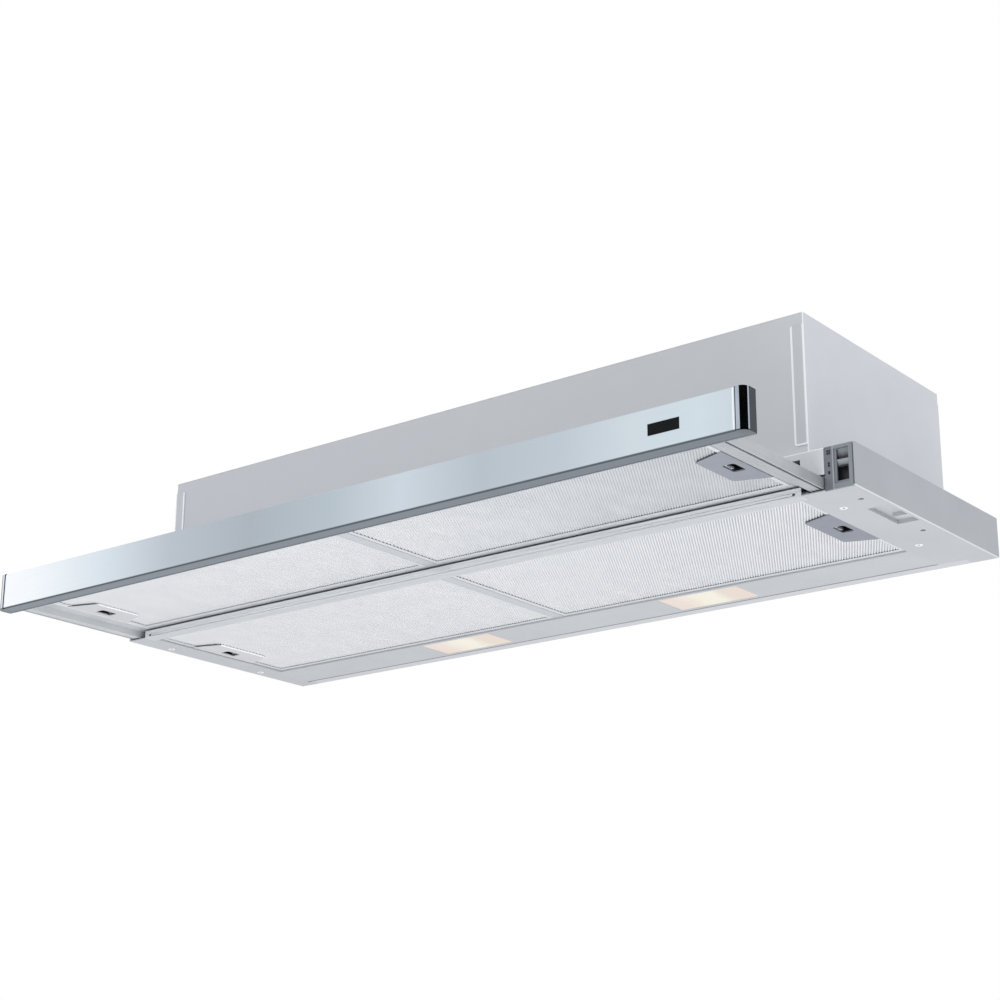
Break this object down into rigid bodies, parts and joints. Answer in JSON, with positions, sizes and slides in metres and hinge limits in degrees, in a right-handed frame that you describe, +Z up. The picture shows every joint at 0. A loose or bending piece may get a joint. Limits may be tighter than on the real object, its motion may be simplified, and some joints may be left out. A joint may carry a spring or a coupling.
{
  "type": "pull out range hood",
  "caption": "Pull-out cooker hood with steel visor, expanded-mesh grease filters on latches, lamps, slide control, centrifugal fan and round duct spigot",
  "frame": {"origin": "middle of the bottom edge of the wall face: X 0 in the middle of the base's width, Y 0 on the face that stands at the wall, Z 0 on the base's underside", "axes": "+X to the right as seen from the front, +Y towards the wall, +Z up; the drawer pulls out along -Y"},
  "size_m": [0.9, 0.4535, 0.211],
  "materials": {
    "body_paint": "satin silver-grey paint",
    "bright_bar": "bright brushed",
    "zinc_steel": "zinc-plated",
    "visor_steel": "fine brushed, lengthwise",
    "cap_chrome": "polished",
    "reflector": "white enamel",
    "lens_glass": "frosted",
    "holder_ceramic": "glazed",
    "bulb_glass": "opal",
    "control_plastic": "fine grained",
    "black_plastic": "matt",
    "plunger_plastic": "smooth",
    "wheel_plastic": "moulded",
    "shaft_steel": "ground",
    "motor_metal": "die-cast",
    "outlet_plastic": "moulded",
    "fastener_steel": "bright zinc",
    "filter_aluminium": "rolled",
    "mesh_aluminium": "expanded mesh",
    "handle_plastic": "fine grained",
    "latch_plastic": "fine grained"
  },
  "bodies": {
    "hood": {"casing_walls": "body_paint", "casing_top": "body_paint", "fan_plate": "body_paint", "casing_side_left": "body_paint", "casing_side_right": "body_paint", "base_side_left": "body_paint", "base_side_right": "body_paint", "base_front_strip": "body_paint", "base_rear_rail": "body_paint", "front_crossbar": "bright_bar", "filter_divider": "zinc_steel", "lamp_panel": "body_paint", "lamp_housings": "reflector", "lamp_lenses": "lens_glass", "lamp_holders": "holder_ceramic", "bulbs": "bulb_glass", "slide_guide_left": "zinc_steel", "slide_guide_right": "zinc_steel", "control_housing": "control_plastic", "speed_switch": "black_plastic", "contact_switch": "black_plastic", "fan_scroll": "zinc_steel", "fan_motor": "motor_metal", "motor_bracket": "zinc_steel", "outlet_collar": "outlet_plastic", "flap_rod": "shaft_steel", "terminal_box": "black_plastic", "cable_gland": "black_plastic", "base_rivets": "fastener_steel"},
    "drawer": {"drawer_rail_left": "zinc_steel", "drawer_rail_right": "zinc_steel", "drawer_front_bar": "zinc_steel", "drawer_rear_bar": "zinc_steel", "drawer_divider": "zinc_steel", "visor": "visor_steel", "visor_cap_left": "cap_chrome", "visor_cap_right": "cap_chrome", "drawer_screws": "fastener_steel"},
    "slider": {"speed_slider": "control_plastic"},
    "plunger": {"contact_plunger": "plunger_plastic"},
    "fan_rotor": {"fan_wheel": "wheel_plastic", "motor_shaft": "shaft_steel"},
    "front_flap": {"flap_front": "outlet_plastic"},
    "rear_flap": {"flap_rear": "outlet_plastic"},
    "filter_front_left": {"filter_frame_front_left": "filter_aluminium", "filter_mesh_front_left": "mesh_aluminium", "filter_handle_front_left": "handle_plastic"},
    "latch_front_left": {"filter_latch_front_left": "latch_plastic"},
    "filter_front_right": {"filter_frame_front_right": "filter_aluminium", "filter_mesh_front_right": "mesh_aluminium", "filter_handle_front_right": "handle_plastic"},
    "latch_front_right": {"filter_latch_front_right": "latch_plastic"},
    "filter_rear_left": {"filter_frame_rear_left": "filter_aluminium", "filter_mesh_rear_left": "mesh_aluminium", "filter_handle_rear_left": "handle_plastic"},
    "latch_rear_left": {"filter_latch_rear_left": "latch_plastic"},
    "filter_rear_right": {"filter_frame_rear_right": "filter_aluminium", "filter_mesh_rear_right": "mesh_aluminium", "filter_handle_rear_right": "handle_plastic"},
    "latch_rear_right": {"filter_latch_rear_right": "latch_plastic"}
  },
  "joints": [
    {"name": "drawer_slide", "type": "slide", "parent": "hood", "child": "drawer", "axis": [0, -1, 0], "range_m": [-0.162, 0]},
    {"name": "speed_slide", "type": "slide", "parent": "hood", "child": "slider", "axis": [0, 0, -1], "range_m": [0, 0.0115]},
    {"name": "plunger_slide", "type": "slide", "parent": "hood", "child": "plunger", "axis": [0, 1, 0], "range_m": [0, 0.003], "stiffness_N_per_m": 150},
    {"name": "fan_spin", "type": "hinge", "parent": "hood", "child": "fan_rotor", "pos_m": [0, -0.13734, 0.108], "axis": [1, 0, 0], "continuous": true},
    {"name": "front_flap_swing", "type": "hinge", "parent": "hood", "child": "front_flap", "pos_m": [0, -0.098, 0.186], "axis": [-1, 0, 0], "range_deg": [0, 78]},
    {"name": "rear_flap_swing", "type": "hinge", "parent": "hood", "child": "rear_flap", "pos_m": [0, -0.098, 0.186], "axis": [1, 0, 0], "range_deg": [0, 78]},
    {"name": "filter_front_left_swing", "type": "hinge", "parent": "drawer", "child": "filter_front_left", "pos_m": [-0.0208, -0.35725, 0.01], "axis": [0, -1, 0], "range_deg": [0, 75]},
    {"name": "latch_front_left_slide", "type": "slide", "parent": "filter_front_left", "child": "latch_front_left", "axis": [1, 0, 0], "range_m": [0, 0.006], "stiffness_N_per_m": 250},
    {"name": "filter_front_right_swing", "type": "hinge", "parent": "drawer", "child": "filter_front_right", "pos_m": [-0.0072, -0.35725, 0.01], "axis": [0, 1, 0], "range_deg": [0, 75]},
    {"name": "latch_front_right_slide", "type": "slide", "parent": "filter_front_right", "child": "latch_front_right", "axis": [-1, 0, 0], "range_m": [0, 0.006], "stiffness_N_per_m": 250},
    {"name": "filter_rear_left_swing", "type": "hinge", "parent": "hood", "child": "filter_rear_left", "pos_m": [-0.0208, -0.1655, 0.0016], "axis": [0, -1, 0], "range_deg": [0, 75]},
    {"name": "latch_rear_left_slide", "type": "slide", "parent": "filter_rear_left", "child": "latch_rear_left", "axis": [1, 0, 0], "range_m": [0, 0.006], "stiffness_N_per_m": 250},
    {"name": "filter_rear_right_swing", "type": "hinge", "parent": "hood", "child": "filter_rear_right", "pos_m": [-0.0072, -0.1655, 0.0016], "axis": [0, 1, 0], "range_deg": [0, 75]},
    {"name": "latch_rear_right_slide", "type": "slide", "parent": "filter_rear_right", "child": "latch_rear_right", "axis": [-1, 0, 0], "range_m": [0, 0.006], "stiffness_N_per_m": 250}
  ]
}
